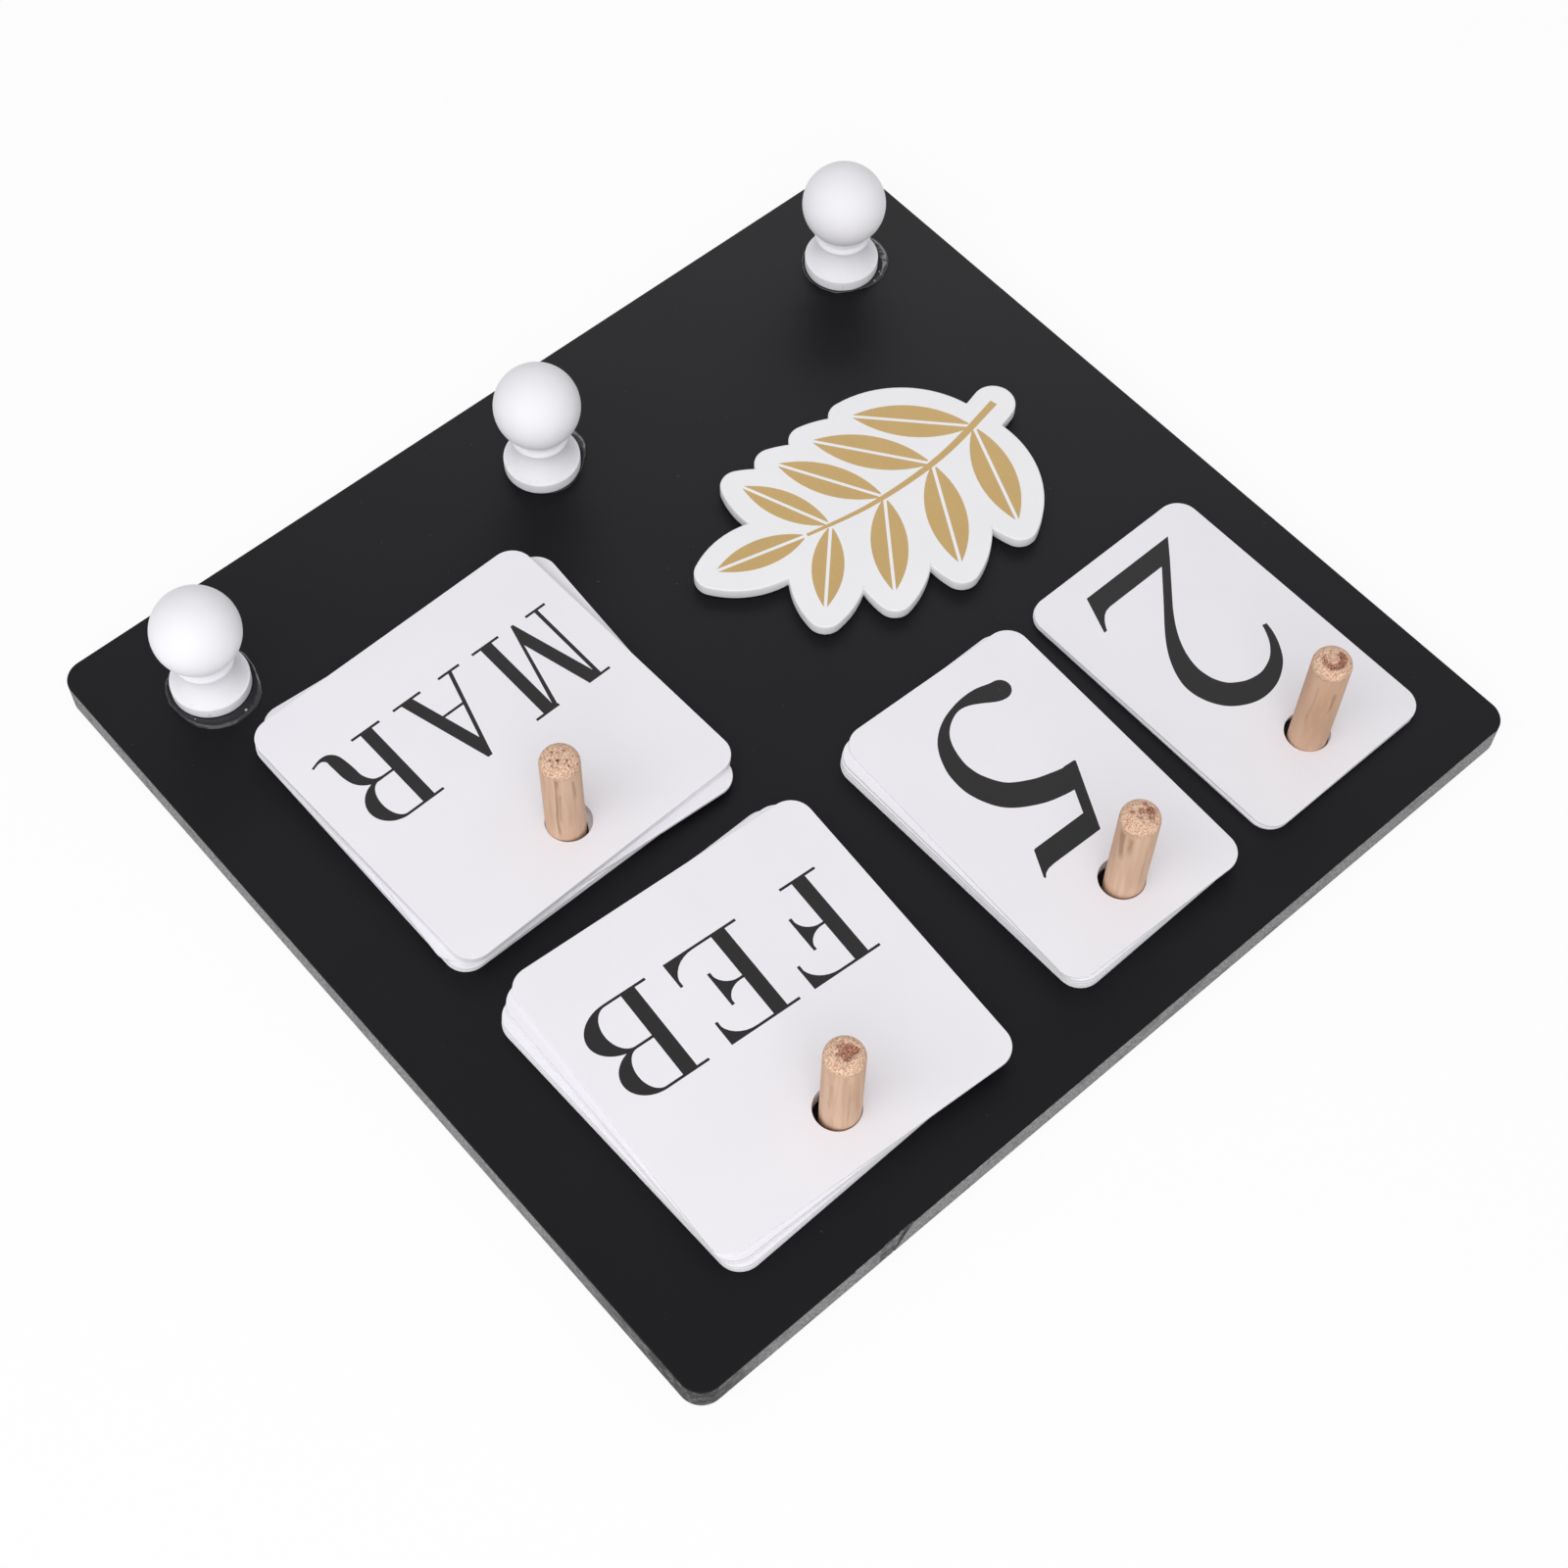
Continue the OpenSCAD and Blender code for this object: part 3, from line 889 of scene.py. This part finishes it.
# Each glyph has its width and then its strokes, in hundredths of its height.
letters = {
    "A": (78.2, [slope(11.2, 0, 39.6, 96, thin), foot(21, 54, 36.5), foot(0, 25.3), foot(46.8, 79.4),
                 [(57.8, 0), (70.9, 0), (43.6, 100), (38.4, 100), (34.4, 84)]]),
    "B": (79, [upright(12.3), head(0, 46), foot(0, 46), foot(26, 46, 50.2),
               bowl(45.4, 50.2, 100, 75.9, 16), bowl(45, 0, 50.2 + hair, 79.3, 17.8)]),
    "C": (76, [brush(*round_back, (62, 8, 3.2), (73, 26, 2.6)), *beak(71.5, 66, 100, -12)]),
    "D": (84, [upright(12.3), head(0, 42), foot(0, 42), bowl(41, 0, 100, 83.5, 17)]),
    "E": (82.6, [upright(13), head(0, 76), foot(0, 79), foot(27, 52, 50), *beak(75.1, 74, 100, -27),
                 *beak(78.8, 0, 28, -29), bar(49.9, 53.2, 31, 69), bracket(50.4, 52.6, -19, 15.5),
                 bracket(50.4, 50.1, -19, -18)]),
    "F": (72.8, [upright(12.3), head(0, 74.5), foot(0, 40.2), foot(26, 50, 50),
                 *beak(73.5, 73, 100, -28), bar(48.7, 51.9, 30.5, 69),
                 bracket(49.2, 52.6, -19, 15.5), bracket(49.2, 50.1, -19, -18)]),
    "G": (86, [brush(*round_back, (60, 6, 5), (70, 20, 8)), *beak(71.5, 66, 100, -12),
               upright(62, 4, 43), foot(50, 86, 41)]),
    "J": (52, [upright(25, 22), head(13, 52), *ring(9, 12, 6.6, 6.6, 6.5, 6.5),
               brush((32.5, 24, stem), (31, 11, 12), (23, 2.4, 4.4), (12, 2.4, 3), (6, 8, 4))]),
    "L": (74, [upright(12.5), head(0, 40), foot(0, 73), *beak(72, 0, 33, -30)]),
    "M": (88.4, [foot(0, 24), head(0, 26), slope(11.9, 0, 11.9, 100, thin),
                 [(38.6, 0), (41.4, 0), (46.8, 19), (25.7, 100), (11.4, 100)],
                 [(38.8, 0), (41.6, 0), (68.8, 100), (64.2, 100)], upright(67.1, width=13.3),
                 head(62.6, 90), foot(57.8, 90)]),
    "N": (88, [foot(0, 25), head(0, 24), slope(12.4, 0, 12.4, 100, thin),
               slope(70.5, 0, 17.5, 100, 15.5), slope(76, 0, 76, 100, thin), head(63, 88)]),
    "O": (84, ring(42, 50, 42, 51.2, 16.5)),
    "P": (72, [upright(12.3), head(0, 44), foot(0, 40), foot(26, 44, 46.6),
               bowl(43, 46.6, 100, 71.5, 16)]),
    "R": (79, [upright(9.9, width=13.3), head(0, 42), foot(0, 33), foot(22, 42, 50.4),
               bowl(41, 50.4, 100, 67.9, 14.5),
               brush((34, 51.8, 2.7), (43, 50.4, 5), (50, 45, 9), (54.5, 37.5, 12.2), (56.2, 28, 14.2),
                     (57, 18, 13.9), (58.4, 8, 12.4), (62, 2, 8), (69, -0.3, 3.2), (79, 2.4, 2.2))]),
    "S": (60, [brush((53, 80, 2.8), (44, 95, 4.4), (31, 98.6, 3.4), (14.5, 88, 9), (13, 71, 13),
                     (30, 52, 16.5), (46.5, 32, 14), (46, 13, 9.5), (30, 1.4, 3.4), (15, 5, 4.4),
                     (6, 21, 2.8)),
               *beak(54.3, 66, 100, -10), *beak(4.6, 0, 34, 10)]),
    "T": (80, [upright(32.8), head(0, 80), foot(20, 60), *beak(1.3, 72, 100, 26),
               *beak(78.7, 72, 100, -26)]),
    "U": (84, [upright(12.2, 30), head(0, 40), slope(70, 30, 70, 100, thin), head(57, 83),
               brush((19.7, 32, stem), (22, 14, 12.6), (32, 4, 7), (46, 1, 4), (60, 5.5, thin),
                     (68.3, 18, thin), (70, 32, thin))]),
    "V": (82, [slope(42, 0, 20, 100, stem), slope(42, 0, 66, 100, thin), head(0, 40), head(54, 82)]),
    "Y": (82, [slope(41, 44, 19, 100, stem), slope(43.4, 44, 65, 100, thin), upright(34.1, 0, 48),
               head(0, 38), head(53, 82), foot(21, 62)]),
}
digits = {
    "0": (62, ring(31, 50, 31, 51, 14, 4)),
    "1": (40, [upright(15, 0, 99, 12.5), foot(0, 42), brush((1, 84, 2.6), (11, 88.5, 6), (23, 98, 5))]),
    "2": (65.2, [brush((1.7, 70.6, 2.6), (3.6, 76.4, 3.7), (7.3, 83.1, 4.9), (13.4, 89.6, 7.1),
                       (22.4, 94, 9.6), (31, 94.7, 12), (38.6, 92.8, 13.4), (46.5, 87.5, 14),
                       (51.3, 79.6, 13.9), (52.9, 71.6, 13.3), (52, 64, 11.5), (49.2, 56, 9.5),
                       (44.8, 48, 7.5), (38.9, 40, 5.8), (31.9, 32, 4.7), (24.4, 24, 4.5),
                       (9.4, 8, 4.4)),
                 [(-0.6, 0), (58.9, 0), (66.9, 20.7), (64.9, 20.7), (63.5, 18.2), (61.6, 15.7),
                  (59.4, 13.5), (56.6, 11.9), (53.2, 11.3), (9.5, 11.3), (2.9, 4)]]),
    "3": (56, [brush((3, 78, 2.6), (12, 92, 7), (25, 96, 8), (39, 88, 12), (41, 72, 11), (31, 59, 6),
                     (17, 54, 3)),
               brush((17, 55, 3), (33, 53, 7), (46, 42, 13), (48, 26, 13), (40, 9, 9), (25, 2, 4),
                     (10, 5, 8)),
               *ring(7, 7.6, 6.4, 6.4, 6.3, 6.3)]),
    "4": (64, [upright(38, 0, 100, 12), bar(0, 64, 24, 34), slope(4.6, 30, 43, 100, 7)]),
    "5": (62.6, [[(20.9, 98.3), (4.2, 62.4), (4.8, 61.6), (11.5, 61.2), (15.5, 73.4), (21.4, 86.5),
                  (53.1, 86.5), (53.9, 87), (60.2, 100.9), (59.6, 101.8), (57.6, 99.8), (55, 98.7),
                  (51, 98.3)],
                 brush((12, 68, 12.8), (20, 66.6, 13.8), (31.2, 63.2, 14.3), (44, 55.4, 14.2),
                       (51.2, 43.3, 12.9), (53, 32.5, 10.9), (51.8, 24, 9.3), (48.8, 16, 7.4),
                       (44.2, 10, 5.4), (38, 5.6, 4.1), (31, 3.1, 3.6), (24.2, 2.8, 5.5), (16.6, 4.5, 9),
                       (9.6, 7.4, 11.2), (6.5, 8.3, 11.6)),
                 *ring(6, 8.3, 6.1, 5.8, 6, 5.7)]),
    "6": (60, [*ring(30, 31, 30, 32, 13.5, 5),
               brush((7, 32, 13.5), (10, 58, 13), (24, 83, 9.6), (54, 99, 3.4))]),
    "7": (60, [bar(2, 58, 88, 100), slope(23, 0, 52, 92, 8),
               [(2, 100), (0, 78), (2.6, 78), (8, 88), (12, 100)]]),
    "8": (58, [*ring(29, 75, 24, 26, 10.5, 4), *ring(29, 26.5, 29, 27.5, 12.5, 4.4)]),
    "9": (60, [*ring(30, 69, 30, 32, 13.5, 5),
               brush((53, 68, 13.5), (50, 42, 13), (36, 17, 9.6), (6, 1, 3.4))]),
}


def word(text, glyphs, height, base, gap):
    """Copies of the glyphs of a text in a row, centred on the card's middle line."""
    unit = height / 100
    width = sum(glyphs[c][0] for c in text) * unit + gap * (len(text) - 1)
    x = -width / 2
    row = []
    for c in text:
        key = (c, height)
        if key not in glyph_films:
            glyph_films[key] = print_of("glyph_" + c, glyphs[c][1], unit * MM)
        film = copy_of(glyph_films[key], "print_" + c)
        film.location = Vector((x, base, 0)) * MM
        bpy.ops.object.transform_apply()
        row.append(film)
        x += glyphs[c][0] * unit + gap
    return row


def turn_over(film, depth):
    """Moves a print to the back of its card, to be read when the card is turned over sideways."""
    film.matrix_world = Matrix.Translation((0, 0, depth)) @ Matrix.Rotation(pi, 4, "Y")
    pick(film)
    bpy.ops.object.transform_apply()


glyph_films = {}
card_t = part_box("tens_card_1")[1][2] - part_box("tens_card_1")[0][2]
masters = {}
for width in (digit_w, month_w):
    low = Vector((-width / 2 * MM, (hole_inset - card_h) * MM, 0))
    high = Vector((width / 2 * MM, hole_inset * MM, card_t))
    master = round_block("blank_card", low, high, card_corner_r * MM)
    drill(master, (0, 0), hole_r * MM, -MM, card_t + MM)
    break_arrises(master, card_arris * MM)
    master.data.materials.append(white_card())
    master.data.materials.append(cut_edge())
    for face in master.data.polygons:
        face.material_index = 0 if abs(face.normal.z) > 0.9 else 1
    masters[width] = master
ink = black_ink()
for pile, (width, fan) in piles.items():
    peg = middle_of("peg_" + pile)
    for level, (turn, shift_x, shift_y) in enumerate(fan):
        node = f"{pile}_card_{level + 1}"
        text = prints[pile][level]
        card = copy_of(masters[width], f"{pile}_sheet_{level + 1}")
        if pile in digit_base:
            films = word(text[0], digits, digit_h, digit_base[pile], 0)
            back = word(text[1], digits, digit_h, digit_base[pile], 0)
            for film in back:
                turn_over(film, -card_t)
            films += back
        else:
            films = word(text, letters, letter_h, letter_base, letter_gap)
            word_middle = Vector((0, letter_base + letter_h / 2, 0)) * MM
            word_place = word_middle + Vector((word_shift[pile] * MM, 0, 0))
            slant = Matrix.Rotation(radians(word_turn[pile]), 4, "Z")
            slanted = Matrix.Translation(word_place) @ slant @ Matrix.Translation(-word_middle)
            for film in films:
                film.matrix_world = slanted
        pick(*films)
        bpy.ops.object.transform_apply()
        if len(films) > 1:
            bpy.ops.object.join()
        lettering = bpy.context.object
        lettering.name = f"{pile}_print_{level + 1}"
        lettering.data.materials.clear()
        lettering.data.materials.append(ink)
        card_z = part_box(node)[0][2]
        place = (peg.x + hole_clearance * shift_x * MM, peg.y + hole_clearance * shift_y * MM)
        for piece, z in ((card, card_z), (lettering, card_z + card_t)):
            pick(piece)
            piece.location = (*place, z)
            piece.rotation_euler = (0, 0, radians(turn))
            bpy.ops.object.transform_apply()
            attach(piece, node)
        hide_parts(node)
for master in [*masters.values(), *glyph_films.values()]:
    bpy.data.objects.remove(master)

# Floor, light and camera
# A white sweep under soft studio light: a broad light on the camera's left, a large fill over
# the camera, a low reflector that lights the near edges and the knobs from the front, a strip
# behind the object that glances off the black face, and an even light from all round.


def seen_plainly(nodes):
    """1 where the camera or a reflection sees a backdrop, which then looks white.
    0 where the backdrop gives light."""
    path = nodes.node("ShaderNodeLightPath").outputs
    seen = Tone(nodes, path["Is Camera Ray"]) + Tone(nodes, path["Is Glossy Ray"])
    return seen + Tone(nodes, path["Is Transmission Ray"])


floor_size = 12
floor_drop = 0.1 * MM
floor_white = 0.92
floor_glow = 0.9
bpy.ops.object.select_all(action="DESELECT")
bpy.ops.mesh.primitive_plane_add(size=floor_size, location=(0, 0, -floor_drop))
floor = bpy.context.object
floor.name = "floor"
sweep = Finish("white sweep", Roughness=0.9, Specular_IOR_Level=0)
sweep.set(Base_Color=(floor_white, floor_white, floor_white, 1))
glow = sweep.node("ShaderNodeEmission", {}, {"Color": (1, 1, 1, 1), "Strength": 1})
blend = sweep.node("ShaderNodeMixShader", {}, {
    0: seen_plainly(sweep) * floor_glow, 1: sweep.shader.outputs[0], 2: glow.outputs[0]})
sweep.feed(sweep.tree.nodes["Material Output"].inputs[0], blend.outputs[0])
floor.data.materials.append(sweep.material)

world = bpy.data.worlds.new("studio")
bpy.context.scene.world = world
world.use_nodes = True
sky = Nodes(world.node_tree)
sky_light = 0.58
backdrop = world.node_tree.nodes["Background"]
sky.feed(backdrop.inputs["Color"], (1, 1, 1, 1))
sky.feed(backdrop.inputs["Strength"], sky_light + seen_plainly(sky) * (1 - sky_light))

aim = Vector((0, 0, board_top))


def softbox(name, place, width, height, power, sheen_only=False):
    """A soft light aimed at the board. One for sheen only shows in gloss and casts no shadow."""
    lamp = bpy.data.lights.new(name, "AREA")
    lamp.shape = "RECTANGLE"
    lamp.size, lamp.size_y = width, height
    lamp.energy = power
    box = bpy.data.objects.new(name, lamp)
    box.location = place
    box.rotation_euler = (aim - Vector(place)).to_track_quat("-Z", "Y").to_euler()
    box.visible_diffuse = not sheen_only
    bpy.context.collection.objects.link(box)


softbox("key light", (0.95, -0.05, 0.95), 0.7, 0.7, 2.8)
softbox("front fill", (0.6, 0.65, 1.0), 1.2, 1.2, 6.4)
softbox("low reflector", (0.72, 0.9, 0.24), 1.2, 0.45, 2)
softbox("back strip", (-0.75, -0.75, 0.75), 1.2, 0.5, 6, sheen_only=True)

lens = bpy.data.cameras.new("photo camera")
lens.lens = 62.2
lens.sensor_width = 36
camera = bpy.data.objects.new("photo camera", lens)
camera.location = (0.24891, 0.26904, 0.58883)
camera.rotation_euler = (radians(30.453), radians(-0.906), radians(138.667))
bpy.context.collection.objects.link(camera)
bpy.context.scene.camera = camera
bpy.context.scene.view_settings.view_transform = "Standard"
